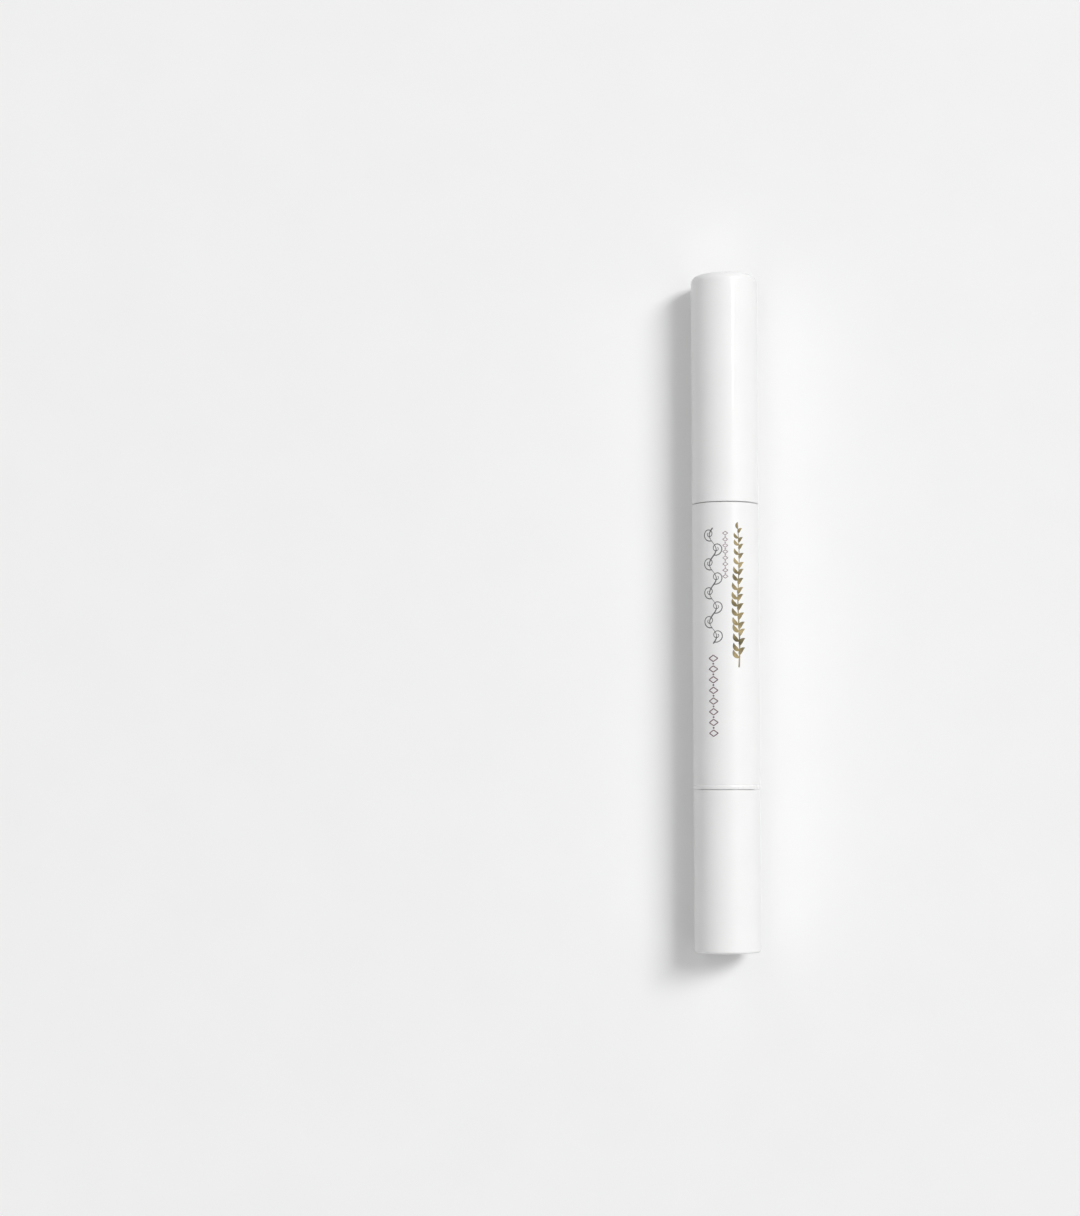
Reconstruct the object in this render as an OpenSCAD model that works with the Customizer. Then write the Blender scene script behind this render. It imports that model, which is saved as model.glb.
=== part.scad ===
// Twist pen for nail oil: a brush under a pull-off cap, a barrel of oil, and a knob that drives a piston.
// The pen lies along Y on z = 0, with the cap towards +Y. Every piece is drawn upright on the pen's axis,
// with the knob's end at zero height, and lay() lays it down.

/* [Pen] */
// Outer diameter of cap, barrel and knob
pen_d = 13.5; // [13:0.1:16]
// Radius of the rounded edge at the cap's end
cap_fillet = 1.6; // [0.9:0.1:2]
// Radius of the rounded edge at the knob's end
knob_fillet = 0.5; // [0.3:0.1:1.2]
// Chamfer on the mouths of the cap, barrel and knob
edge_chamfer = 0.12; // [0.05:0.01:0.3]

/* [Cap] */
// Length of the cap
cap_l = 47.1; // [42:0.1:60]
// Wall of the cap
cap_wall = 0.9; // [0.7:0.05:1.2]
// Thickness of the cap's closed end
cap_end_wall = 1.2; // [0.8:0.1:2]
// Gap that shows between the cap and the barrel
cap_gap = 0.15; // [0.15:0.05:0.6]
// Wall of the inner cap round the collar
inner_cap_wall = 0.63; // [0.5:0.01:0.9]
// Wall of the inner cap's hood over the brush
hood_wall = 0.7; // [0.5:0.05:0.9]
// Free space in the hood beyond the brush
hood_space = 6.2; // [5:0.1:7]
// Number of fins that centre the hood in the cap
hood_fins = 6; // [3:1:10]

/* [Barrel] */
// Length of the barrel between the ring and the cap
barrel_l = 57; // [45:0.1:80]
// Wall of the barrel
barrel_wall = 1.25; // [1.15:0.05:1.4]
// Width of the thin ring between barrel and knob
ring_w = 0.95; // [0.4:0.05:1.5]
// How far the ring's crown stands proud of the barrel
ring_proud = 0.05; // [0.02:0.01:0.3]

/* [Nozzle] */
// Length of the nozzle's plug inside the barrel
plug_l = 4.7; // [4.6:0.05:8]
// Thickness of the nozzle's flange
nozzle_flange_l = 1.2; // [0.8:0.1:1.8]
// Length of the collar that the cap grips
collar_l = 8.5; // [7:0.5:10]
// Length of the cone between the collar and the brush
cone_l = 13; // [11:0.5:15]
// Diameter of the cone's tip
cone_tip_d = 6; // [5.6:0.1:6.6]
// Outer diameter of the feed tube
tube_d = 1.8; // [1.4:0.1:2]
// Bore of the feed tube
tube_bore_d = 1; // [0.6:0.1:1.1]

/* [Brush] */
// Length of brush outside the nozzle
brush_l = 11; // [8:0.5:14]
// Diameter of the tuft where it leaves its holder
tuft_d = 3.9; // [3.5:0.1:4]
// Wall of the brush holder
holder_wall = 0.45; // [0.3:0.05:0.5]
// Number of bristles
bristles = 320; // [300:10:400]
// Thickness of a bristle at its root
bristle_d = 0.11; // [0.08:0.01:0.12]

/* [Piston] */
// Length of the piston
piston_l = 7; // [6:0.5:9]
// Height of the cone on the piston's front
piston_cone_l = 1; // [0.5:0.1:1.5]

/* [Lead screw] */
// Diameter over the screw's thread
screw_d = 4.4; // [4.2:0.1:4.6]
// Depth of the screw's thread
thread_depth = 0.55; // [0.4:0.05:0.6]
// Advance of the screw in one turn
lead = 2.25; // [2:0.05:3]
// Distance across the screw's two flats
screw_flats = 2.8; // [2.6:0.05:2.85]
// Length of the nut's thread
nut_l = 6; // [5:0.5:8]

/* [Knob] */
// Length of the knob
knob_l = 32.7; // [28:0.1:45]
// Wall of the knob
knob_wall = 1; // [0.8:0.05:1.1]
// Thickness of the knob's closed end
knob_end_wall = 1.4; // [1:0.1:2.5]
// Gap that shows between the knob and the ring
knob_gap = 0.1; // [0.1:0.05:0.6]
// Number of ribs inside the knob
knob_ribs = 6; // [3:1:8]

/* [Twist drive] */
// Length of the housing inside the knob
spigot_l = 10.25; // [9:0.25:12]
// Length of the sleeve's hub in the knob
hub_l = 4.5; // [3.5:0.5:6]
// Wall of the drive sleeve
sleeve_wall = 0.9; // [0.8:0.05:1]
// Length of the keyed bore that turns the screw
key_l = 4; // [3:0.5:6]
// Number of ratchet teeth, a multiple of the pawls
teeth = 12; // [9:3:15]
// Depth of a ratchet tooth
tooth_h = 0.45; // [0.3:0.05:0.5]
// Number of pawls on the click ring
pawls = 3; // [2, 3, 4, 6]
// Length of the click ring
click_l = 3; // [2:0.5:4]

/* [Fits] */
// Radial gap between pieces that are pressed together
press_gap = 0.02; // [0.01:0.005:0.04]
// Radial gap between pieces that slide or turn
run_gap = 0.1; // [0.05:0.01:0.12]
// Axial gap between faces that meet when the pen is closed
face_gap = 0.05; // [0.02:0.01:0.1]

/* [Hidden] */
$fn = 96;

// Overrun of every cut
over = 1;

// Heights along the pen, from the knob's end
ring_z = knob_l + knob_gap;
barrel_z = ring_z + ring_w;
shoulder_z = barrel_z + barrel_l;
cap_z = shoulder_z + cap_gap;
pen_l = cap_z + cap_l;

// Radii of the outer shells
pen_r = pen_d / 2;
ring_r = pen_r + ring_proud;
cap_bore_r = pen_r - cap_wall;
barrel_bore_r = pen_r - barrel_wall;
knob_bore_r = pen_r - knob_wall;

// Crown of the ring, whose edges lie a little under the barrel's skin
ring_sink = 0.05;
crown_rise = ring_proud + ring_sink;
crown_r = (pow(ring_w / 2, 2) + pow(crown_rise, 2)) / (2 * crown_rise);

// Ledges in the barrel's two mouths, where the nozzle's and the housing's flanges sit
ledge_w = 0.45;
housing_flange_l = 1;
flange_r = barrel_bore_r + ledge_w - press_gap;
insert_r = barrel_bore_r - 2 * press_gap;

// Nozzle
flange_proud = 0.1;
nozzle_z = shoulder_z - plug_l;
collar_z = shoulder_z + flange_proud;
cone_z = shoulder_z + collar_l;
tip_z = cone_z + cone_l;
collar_r = cap_bore_r - press_gap - inner_cap_wall - run_gap;
cone_step = 0.8;
cone_base_r = collar_r - cone_step;
cone_tip_r = cone_tip_d / 2;
collar_chamfer = 0.3;
snap_h = 0.07;
snap_w = 1.2;
nozzle_wall = 1.4;
nozzle_bore_r = insert_r - nozzle_wall;
holder_r = tuft_d / 2 + press_gap + holder_wall;
seat_r = holder_r + press_gap;
seat_l = 5.5;
seat_z = tip_z - seat_l;
tip_edge = 0.3;

// Seal in its groove on the nozzle's plug
seal_d = 0.93;
seal_z = nozzle_z + 2 * seal_d;
seal_groove_r = insert_r - seal_d + press_gap;
seal_groove_w = seal_d + 2 * face_gap;

// Insert in the nozzle, which leads the oil to the feed tube
core_disc_l = 1.9;
funnel_l = piston_cone_l + face_gap;
funnel_rim_w = 0.3;
funnel_r = nozzle_bore_r - press_gap - funnel_rim_w;
stem_wall = 0.9;
tube_r = tube_d / 2;
stem_r = tube_r + press_gap + stem_wall;
core_fin_w = 0.7;
core_fin_l = 9;
core_fins = 4;

// Brush
holder_floor = 1;
holder_proud = 0.4;
tuft_r = tuft_d / 2;
tuft_z = seat_z + holder_floor + press_gap;
tuft_base_l = 0.45;
brush_z = tip_z + brush_l;
bristle_gap = 0.16;
tuft_hole_r = tube_r + press_gap;
belly_share = 0.42;
root_width_share = 0.92;
belly_width_share = 1.03;
tip_width_share = 0.16;
short_share = 0.2;
belly_z = tuft_z + belly_share * (brush_z - tuft_z);
golden_angle = 137.50776;

// Inner cap
hood_gap = 0.2;
hood_step = 0.45;
hood_r = cone_base_r + hood_gap;
hood_end_z = brush_z + hood_space;
hood_step_z = cone_z + hood_step;
hood_end_wall = 0.7;
fin_w = 0.8;
fin_end = 4;

// Drive housing
spigot_r = knob_bore_r - run_gap;
spigot_z = barrel_z - spigot_l;
web_l = 1.6;
web_z = barrel_z + web_l;
end_play = 0.1;

// Lead screw and its nut
screw_r = screw_d / 2;
root_r = screw_r - thread_depth;
thread_steps = 12;
root_share = 0.3;
flank_share = 0.175;
thread_gap = 0.06;
flank_gap = 0.08;
key_slack = 0.06;

// Drive sleeve, from the screw outwards
sleeve_bore_r = screw_r + run_gap;
sleeve_r = sleeve_bore_r + sleeve_wall;
sleeve_shoulder_w = 0.85;
sleeve_shoulder_l = 2.2;
clip_l = 0.8;
clip_depth = 0.4;
clip_w = 1;
clip_open_angle = 60;
clip_z = web_z + end_play;
key_z = clip_z + clip_l + end_play + clip_depth;
nose_z = key_z + key_l;
nut_z = nose_z + clip_depth;
housing_end_z = nut_z + nut_l;
clip_groove_r = sleeve_r - clip_depth;
clip_r = clip_groove_r + press_gap + clip_w + clip_depth;
chamber_gap = 0.3;
chamber_r = clip_r + chamber_gap;
nut_keys = 4;
nut_key_w = 1;
nut_key_h = 0.4;
hub_gap = 0.5;
hub_z = spigot_z - hub_gap - hub_l;
hub_wall = 0.9;
hub_web_l = 1.2;
hub_rib_w = 0.7;
hub_rib_h = 0.3;

// Ratchet teeth in the housing and the click ring that turns inside them
click_wall = 0.5;
click_hub_r = sleeve_r + press_gap + click_wall;
arm_gap = 0.25;
arm_t = 0.38;
arm_in_r = click_hub_r + arm_gap;
arm_out_r = arm_in_r + arm_t;
tooth_gap = 0.12;
tooth_tip_r = arm_out_r + tooth_gap;
tooth_root_r = tooth_tip_r + tooth_h;
tooth_relief = 0.06;
tooth_angle = 360 / teeth;
tooth_face_share = 0.1;
pawl_gap = 0.08;
pawl_share = 0.5;
arm_share = 0.625;
arm_angle = arm_share * 360 / pawls;
arm_root_angle = 12;
click_z = barrel_z - end_play - click_l;
tooth_l = click_l + 2 * click_wall;
click_key_w = 0.8;
click_key_h = 0.25;

// Knob
knob_step_w = 0.4;
knob_rib_w = 0.6;
knob_rib_h = 0.8;
screw_end_gap = 1.2;
screw_z = knob_end_wall + screw_end_gap;

// Piston and the screw's head inside it
piston_gap = 0.3;
piston_z = housing_end_z + piston_gap;
piston_end_z = piston_z + piston_l;
piston_r = barrel_bore_r - 2 * run_gap;
piston_core_r = 3.9;
piston_flange_l = 0.8;
lip_r = barrel_bore_r - run_gap / 2;
lip_l = 0.7;
lip_slope_l = 0.9;
seal_waist = 0.5;
neck_r = 1.2;
head_r = 1.75;
lip_hole_l = 1.3;
head_l = 2.3;
head_edge_l = 0.8;
head_z = piston_z + lip_hole_l + run_gap;
socket_l = head_l + 3 * run_gap;
thread_end_z = housing_end_z - run_gap;

// How far the piston goes before it meets the nozzle, and the turns that takes
stroke = nozzle_z - piston_end_z - end_play;
echo(stroke_mm = stroke, turns = stroke / lead);
echo(pen_length_mm = pen_l, oil_ml = PI * pow(barrel_bore_r, 2) * stroke / 1000);

// Lays an upright piece along Y, with the ring touching the table
module lay() {
    translate([0, -pen_l / 2, ring_r])
        rotate([-90, 0, 0])
            children();
}

// Half section of a tube or ring between two radii and two heights
module band(r_in, r_out, z_from, z_to) {
    translate([r_in, z_from])
        square([r_out - r_in, z_to - z_from]);
}

// Solid ring between two radii and two heights
module ring(r_in, r_out, z_from, z_to) {
    rotate_extrude()
        band(r_in, r_out, z_from, z_to);
}

// Half section of a bar that ends in a rounded edge at the top
module rounded_bar(r, z_from, z_to, fillet) {
    band(0, r, z_from, z_to - fillet);
    band(0, r - fillet, z_from, z_to);
    translate([r - fillet, z_to - fillet])
        circle(fillet);
}

// Half section of the ring of material that a chamfer takes off a rim at radius r and height z.
// inward is 1 where the edge is on the outside and -1 where it is on the inside of a tube, and
// up is 1 where the material lies above the rim and -1 where it lies below.
module chamfer_cut(r, z, size, inward, up) {
    polygon([
        [r - inward * size, z],
        [r - inward * size, z - up * over],
        [r + inward * over, z - up * over],
        [r + inward * over, z + up * size],
        [r, z + up * size]
    ]);
}

// Point at radius r and angle a
function polar(r, a) = r * [cos(a), sin(a)];

// Flat sector of a ring between two angles less than half a turn apart
module sector(r_in, r_out, from, to) {
    reach = 2 * r_out;
    intersection() {
        difference() {
            circle(r_out);
            circle(r_in);
        }
        polygon([
            [0, 0],
            polar(reach, from),
            polar(reach, (from + to) / 2),
            polar(reach, to)
        ]);
    }
}

// Radial ribs between two radii and two heights, evenly round the axis
module ribs(count, width, r_in, r_out, z_from, z_to) {
    for (i = [0:count - 1])
        rotate([0, 0, i * 360 / count])
            translate([r_in, -width / 2, z_from])
                cube([r_out - r_in, width, z_to - z_from]);
}

// Radius of the thread at corner k of its profile: 0 and 3 on the root, 1 and 2 on the crest
function thread_r(k, root, crest) = (k == 0 || k == 3) ? root : crest;

// Heights of the profile's four corners in one lead. grow widens the crest on both sides.
function thread_dz(grow) = [
    root_share * lead - grow,
    (root_share + flank_share) * lead - grow,
    (1 - flank_share) * lead + grow,
    lead + grow
];

// Radius limited by the two flats at angle a, where flat is half the distance across them
function flatted(r, a, flat) = r * abs(sin(a)) <= flat ? r : flat / abs(sin(a));

// Threaded rod as one closed skin that follows the helix, from a full lead below z_from to one above z_to.
// Each ring of corners runs along one edge of the thread, so the flanks stay crisp with few faces.
module helix(z_from, z_to, root, crest, flat, grow) {
    first = (floor(z_from / lead) - 2) * thread_steps;
    last = (ceil(z_to / lead) + 1) * thread_steps;
    count = last - first;
    heights = thread_dz(grow);
    points = [
        for (i = [first:last])
            for (k = [0:3])
                let (a = i * 360 / thread_steps)
                    let (r = flatted(thread_r(k, root, crest), a, flat))
                        [r * cos(a), r * sin(a), i * lead / thread_steps + heights[k]]
    ];
    middle = [
        [0, 0, (first / thread_steps + 1) * lead],
        [0, 0, (last / thread_steps + 1) * lead]
    ];
    low = len(points);
    high = low + 1;
    function at(i, k) = 4 * i + k;
    walls = [
        for (i = [0:count - 1])
            for (k = [0:2])
                for (face = [
                    [at(i, k), at(i, k + 1), at(i + 1, k)],
                    [at(i + 1, k), at(i, k + 1), at(i + 1, k + 1)]
                ])
                    face
    ];
    roots = [
        for (i = [0:count - 1 - thread_steps])
            for (face = [
                [at(i, 3), at(i + thread_steps, 0), at(i + 1, 3)],
                [at(i + 1, 3), at(i + thread_steps, 0), at(i + thread_steps + 1, 0)]
            ])
                face
    ];
    low_end = concat(
        [for (i = [0:thread_steps - 1]) [low, at(i, 0), at(i + 1, 0)]],
        [for (k = [0:2]) [low, at(0, k + 1), at(0, k)]],
        [[low, at(thread_steps, 0), at(0, 3)]]
    );
    high_end = concat(
        [for (i = [count - thread_steps:count - 1]) [high, at(i + 1, 3), at(i, 3)]],
        [for (k = [0:2]) [high, at(count, k), at(count, k + 1)]],
        [[high, at(count - thread_steps, 3), at(count, 0)]]
    );
    intersection() {
        polyhedron(concat(points, middle), concat(walls, roots, low_end, high_end));
        translate([0, 0, z_from])
            cylinder(r = 2 * crest, h = z_to - z_from);
    }
}

// Outer cap: a plain tube with a closed, softly rounded end
module cap_shell() {
    color("white")
        lay()
            rotate_extrude()
                difference() {
                    rounded_bar(pen_r, cap_z, pen_l, cap_fillet);
                    rounded_bar(cap_bore_r, cap_z - over, pen_l - cap_end_wall, cap_fillet - cap_wall / 2);
                    chamfer_cut(pen_r, cap_z, edge_chamfer, 1, 1);
                    chamfer_cut(cap_bore_r, cap_z, edge_chamfer, -1, 1);
                }
}

// Inner cap: a skirt that slides over the nozzle's collar, and a closed hood over cone and brush
module inner_cap() {
    skirt_r = cap_bore_r - press_gap;
    rim_z = collar_z + face_gap;
    color("whitesmoke")
        lay() {
            rotate_extrude()
                difference() {
                    union() {
                        band(0, skirt_r, rim_z, hood_step_z + hood_wall);
                        rounded_bar(hood_r + hood_wall, rim_z, hood_end_z + hood_end_wall, hood_wall);
                    }
                    band(0, collar_r + run_gap, rim_z - over, hood_step_z);
                    rounded_bar(hood_r, rim_z, hood_end_z, hood_wall);
                    chamfer_cut(skirt_r, rim_z, edge_chamfer, 1, 1);
                    chamfer_cut(collar_r + run_gap, rim_z, edge_chamfer, -1, 1);
                }
            ribs(hood_fins, fin_w, hood_r + hood_wall / 2, skirt_r, hood_step_z, hood_end_z - fin_end);
        }
}

// Barrel: a plain tube whose two mouths are stepped for the flanges of nozzle and housing
module barrel_shell() {
    color("white")
        lay()
            rotate_extrude()
                difference() {
                    band(barrel_bore_r, pen_r, barrel_z, shoulder_z);
                    band(0, barrel_bore_r + ledge_w, shoulder_z - nozzle_flange_l, shoulder_z + over);
                    band(0, barrel_bore_r + ledge_w, barrel_z - over, barrel_z + housing_flange_l);
                    chamfer_cut(pen_r, shoulder_z, edge_chamfer, 1, -1);
                    chamfer_cut(pen_r, barrel_z, edge_chamfer / 2, 1, 1);
                }
}

// Thin crowned ring, which stands just proud between barrel and knob
module middle_ring() {
    color("white")
        lay()
            rotate_extrude()
                intersection() {
                    band(spigot_r + press_gap, ring_r, ring_z, barrel_z);
                    translate([ring_r - crown_r, ring_z + ring_w / 2])
                        circle(crown_r);
                }
}

// Nozzle: plug with a seal groove, flange, collar with a snap bead, and the cone that holds the brush
module nozzle() {
    color("whitesmoke")
        lay()
            rotate_extrude()
                difference() {
                    polygon([
                        [0, nozzle_z],
                        [insert_r, nozzle_z],
                        [insert_r, shoulder_z - nozzle_flange_l],
                        [flange_r, shoulder_z - nozzle_flange_l],
                        [flange_r, collar_z],
                        [collar_r, collar_z],
                        [collar_r, cone_z - collar_l / 2 - snap_w / 2],
                        [collar_r + snap_h, cone_z - collar_l / 2],
                        [collar_r, cone_z - collar_l / 2 + snap_w / 2],
                        [collar_r, cone_z - collar_chamfer],
                        [collar_r - collar_chamfer, cone_z],
                        [cone_base_r, cone_z],
                        [cone_tip_r, tip_z - tip_edge],
                        [cone_tip_r - tip_edge, tip_z],
                        [0, tip_z]
                    ]);
                    band(seal_groove_r, pen_r, seal_z - seal_groove_w / 2, seal_z + seal_groove_w / 2);
                    polygon([
                        [0, nozzle_z - over],
                        [nozzle_bore_r, nozzle_z - over],
                        [nozzle_bore_r, cone_z - nozzle_wall],
                        [cone_base_r - nozzle_wall, cone_z],
                        [seat_r, seat_z],
                        [seat_r, tip_z + over],
                        [0, tip_z + over]
                    ]);
                    chamfer_cut(insert_r, nozzle_z, edge_chamfer, 1, 1);
                }
}

// Round seal in the plug's groove
module nozzle_seal() {
    section_r = seal_d / 2 - press_gap;
    color("dimgray")
        lay()
            rotate_extrude()
                translate([insert_r - section_r, seal_z])
                    circle(section_r);
}

// Insert that closes the nozzle's hollow: a disc with a funnel, and a finned stem for the feed tube
module nozzle_core() {
    disc_r = nozzle_bore_r - press_gap;
    color("whitesmoke")
        lay() {
            rotate_extrude()
                polygon([
                    [disc_r, nozzle_z],
                    [disc_r, nozzle_z + core_disc_l],
                    [stem_r, nozzle_z + core_disc_l],
                    [stem_r, seat_z - end_play],
                    [tube_r + press_gap, seat_z - end_play],
                    [tube_r + press_gap, nozzle_z + funnel_l],
                    [funnel_r, nozzle_z]
                ]);
            ribs(core_fins, core_fin_w, (tube_r + stem_r) / 2, disc_r,
                nozzle_z + core_disc_l - face_gap, nozzle_z + core_disc_l + core_fin_l);
        }
}

// Thin tube from the funnel into the middle of the brush
module feed_tube() {
    color("white")
        lay()
            ring(tube_bore_d / 2, tube_r, nozzle_z + funnel_l, belly_z);
}

// Ferrule in the nozzle's tip, with a floor that the tuft stands on
module brush_holder() {
    color("ghostwhite")
        lay()
            rotate_extrude()
                difference() {
                    rounded_bar(holder_r, seat_z, tip_z + holder_proud, holder_wall / 2);
                    band(0, tube_r + press_gap, seat_z - over, tip_z + holder_proud + over);
                    band(0, tuft_r + press_gap, seat_z + holder_floor, tip_z + holder_proud + over);
                }
}

// Width of the whole tuft at height z, as a share of its width at the root
function tuft_share(z) = z < belly_z
    ? root_width_share + (belly_width_share - root_width_share) * (z - tuft_z) / (belly_z - tuft_z)
    : belly_width_share + (tip_width_share - belly_width_share) * (z - belly_z) / (brush_z - belly_z);

// Three corners of a bristle rooted at radius r and angle a, at height z
function bristle_ring(r, a, z, size) = [
    for (k = [0:2])
        let (turn = a + k * 120)
            [
                tuft_share(z) * r * cos(a) + size * cos(turn),
                tuft_share(z) * r * sin(a) + size * sin(turn),
                z
            ]
];

// Tapered nylon bristles on a fused base. They all swell and draw in alike, so none crosses another.
module brush_tuft() {
    inner = tuft_hole_r + bristle_gap;
    outer = tuft_r - bristle_gap / 2;
    root_z = tuft_z + tuft_base_l / 2;
    color("gainsboro")
        lay() {
            ring(tuft_hole_r, tuft_r, tuft_z, tuft_z + tuft_base_l);
            for (i = [0:bristles - 1]) {
                r = sqrt(pow(inner, 2) + (pow(outer, 2) - pow(inner, 2)) * (i + 0.5) / bristles);
                a = i * golden_angle;
                top = brush_z - short_share * brush_l * pow(r / outer, 2);
                polyhedron(
                    concat(
                        bristle_ring(r, a, root_z, bristle_d / 2),
                        bristle_ring(r, a, belly_z, bristle_d / 2),
                        [[tuft_share(top) * r * cos(a), tuft_share(top) * r * sin(a), top]]
                    ),
                    [
                        [0, 1, 2],
                        [0, 3, 1], [1, 3, 4], [1, 4, 2], [2, 4, 5], [2, 5, 0], [0, 5, 3],
                        [3, 6, 4], [4, 6, 5], [5, 6, 3]
                    ]
                );
            }
        }
}

// Piston core: two flanges that hold the seal, a cone in front, and a socket for the screw's head
module piston() {
    color("white")
        lay()
            rotate_extrude()
                difference() {
                    polygon([
                        [0, piston_z],
                        [piston_r, piston_z],
                        [piston_r, piston_z + piston_flange_l],
                        [piston_core_r, piston_z + piston_flange_l],
                        [piston_core_r, piston_end_z - piston_flange_l],
                        [piston_r, piston_end_z - piston_flange_l],
                        [piston_r, piston_end_z],
                        [funnel_r - run_gap, piston_end_z],
                        [tube_r, piston_end_z + piston_cone_l],
                        [0, piston_end_z + piston_cone_l]
                    ]);
                    band(0, neck_r + run_gap, piston_z - over, piston_z + lip_hole_l + over);
                    band(0, head_r + run_gap, piston_z + lip_hole_l, piston_z + lip_hole_l + socket_l);
                }
}

// Soft seal with a lip at each end, stretched over the piston's core
module piston_seal() {
    from = piston_z + piston_flange_l + press_gap;
    to = piston_end_z - piston_flange_l - press_gap;
    color("lightgray")
        lay()
            rotate_extrude()
                polygon([
                    [piston_core_r + press_gap, from],
                    [lip_r - seal_waist / 2, from],
                    [lip_r, from + lip_l / 2],
                    [lip_r, from + lip_l],
                    [lip_r - seal_waist, from + lip_l + lip_slope_l],
                    [lip_r - seal_waist, to - lip_l - lip_slope_l],
                    [lip_r, to - lip_l],
                    [lip_r, to - lip_l / 2],
                    [lip_r - seal_waist / 2, to],
                    [piston_core_r + press_gap, to]
                ]);
}

// Lead screw: coarse right-hand thread with two flats, and a head that snaps into the piston
module lead_screw() {
    color("whitesmoke")
        lay() {
            helix(screw_z, thread_end_z, root_r, screw_r, screw_flats / 2, 0);
            rotate_extrude()
                polygon([
                    [0, thread_end_z - neck_r],
                    [neck_r, thread_end_z - neck_r],
                    [neck_r, head_z],
                    [head_r, head_z],
                    [head_r, head_z + head_edge_l],
                    [neck_r, head_z + head_l],
                    [0, head_z + head_l]
                ]);
        }
}

// Nut: a keyed insert whose inner thread the screw climbs
module drive_nut() {
    fit = 1 / cos(180 / thread_steps);
    color("lightgray")
        lay()
            difference() {
                union() {
                    ring(0, chamber_r - press_gap, nut_z, housing_end_z);
                    ribs(nut_keys, nut_key_w, root_r, chamber_r + nut_key_h, nut_z, housing_end_z);
                }
                helix(nut_z - over, housing_end_z + over, fit * (root_r + thread_gap),
                    fit * (screw_r + thread_gap), screw_d, flank_gap);
            }
}

// Outline of the chamber with ratchet teeth: each tooth rises inwards slowly and drops back at once
module ratchet_outline() {
    polygon([
        for (i = [0:teeth - 1])
            for (corner = [
                [tooth_root_r, 0],
                [tooth_root_r, tooth_face_share],
                [tooth_tip_r, 1 - tooth_face_share],
                [tooth_tip_r, 1]
            ])
                polar(corner[0], (i + corner[1]) * tooth_angle)
    ]);
}

// Point on a tooth's rising face, at a share of its length, drawn in by the pawl's clearance
function on_tooth(share) = (1 - pawl_gap / tooth_root_r) * (
    (1 - share) * polar(tooth_root_r, tooth_face_share * tooth_angle)
    + share * polar(tooth_tip_r, (1 - tooth_face_share) * tooth_angle)
);

// Housing that joins barrel and knob: plug, flange, spigot for the knob, web and ratchet teeth
module drive_housing() {
    color("whitesmoke")
        lay()
            difference() {
                rotate_extrude()
                    difference() {
                        union() {
                            band(0, insert_r, barrel_z, housing_end_z);
                            band(0, flange_r, barrel_z, barrel_z + housing_flange_l);
                            band(0, spigot_r, spigot_z, barrel_z);
                        }
                        band(0, chamber_r, web_z, housing_end_z + over);
                        band(0, sleeve_r + run_gap / 2, barrel_z - over, web_z + over);
                        band(0, tooth_root_r + tooth_relief, spigot_z - over, barrel_z - tooth_l);
                        chamfer_cut(insert_r, housing_end_z, edge_chamfer, 1, -1);
                        chamfer_cut(spigot_r, spigot_z, edge_chamfer, 1, 1);
                    }
                translate([0, 0, barrel_z - tooth_l - over])
                    linear_extrude(tooth_l + over)
                        ratchet_outline();
                ribs(nut_keys, nut_key_w + 2 * press_gap, root_r, chamber_r + nut_key_h + press_gap,
                    nut_z - press_gap, housing_end_z + over);
            }
}

// One springy arm that trails behind its root, with a pawl that seats in a tooth
module pawl_arm() {
    pawl_from = tooth_face_share * tooth_angle / 2;
    pawl_to = (pawl_share + tooth_face_share) * tooth_angle;
    sector(arm_in_r, arm_out_r, pawl_from, arm_angle);
    sector(click_hub_r - arm_gap, arm_out_r, arm_angle, arm_angle + arm_root_angle);
    polygon([
        polar(arm_in_r + arm_t / 2, pawl_from),
        polar(tooth_root_r - pawl_gap, pawl_from),
        on_tooth(0),
        on_tooth(pawl_share),
        polar(arm_in_r + arm_t / 2, pawl_to)
    ]);
}

// Click ring: a keyed hub with springy pawls that click over the housing's teeth
module click_ring() {
    color("gainsboro")
        lay()
            difference() {
                translate([0, 0, click_z])
                    linear_extrude(click_l)
                        union() {
                            circle(click_hub_r);
                            for (i = [0:pawls - 1])
                                rotate(i * 360 / pawls)
                                    pawl_arm();
                        }
                ring(0, sleeve_r + press_gap, click_z - over, click_z + click_l + over);
                ribs(pawls, click_key_w + 2 * press_gap, root_r, sleeve_r + click_key_h + press_gap,
                    click_z - over, click_z + click_l + over);
            }
}

// Drive sleeve: hub pressed in the knob, shoulder and keys for the click ring, and a keyed nose
module drive_sleeve() {
    hub_r = knob_bore_r - press_gap;
    shoulder_to = click_z - face_gap;
    shoulder_from = shoulder_to - sleeve_shoulder_l;
    color("white")
        lay()
            difference() {
                union() {
                    ring(0, sleeve_r, hub_z, nose_z);
                    ring(0, sleeve_r + sleeve_shoulder_w, shoulder_from, shoulder_to);
                    ring(0, hub_r, hub_z, hub_z + hub_l);
                    ribs(pawls, click_key_w, root_r, sleeve_r + click_key_h, shoulder_from, click_z + click_l);
                }
                difference() {
                    ring(sleeve_r, hub_r - hub_wall, hub_z - over, hub_z + hub_l - hub_web_l);
                    ribs(knob_ribs, knob_rib_w, root_r, hub_r, hub_z - over, hub_z + hub_l);
                }
                ribs(knob_ribs, hub_rib_w + 2 * press_gap, hub_r - hub_rib_h - press_gap, pen_r,
                    hub_z - over, hub_z + hub_l + over);
                ring(0, sleeve_bore_r, hub_z - over, key_z);
                intersection() {
                    ring(0, sleeve_bore_r, key_z - over, nose_z + over);
                    translate([-pen_r, -screw_flats / 2 - key_slack, key_z - over])
                        cube([pen_d, screw_flats + 2 * key_slack, key_l + 2 * over]);
                }
                ring(clip_groove_r, pen_r, clip_z - face_gap, clip_z + clip_l + face_gap);
            }
}

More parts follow.
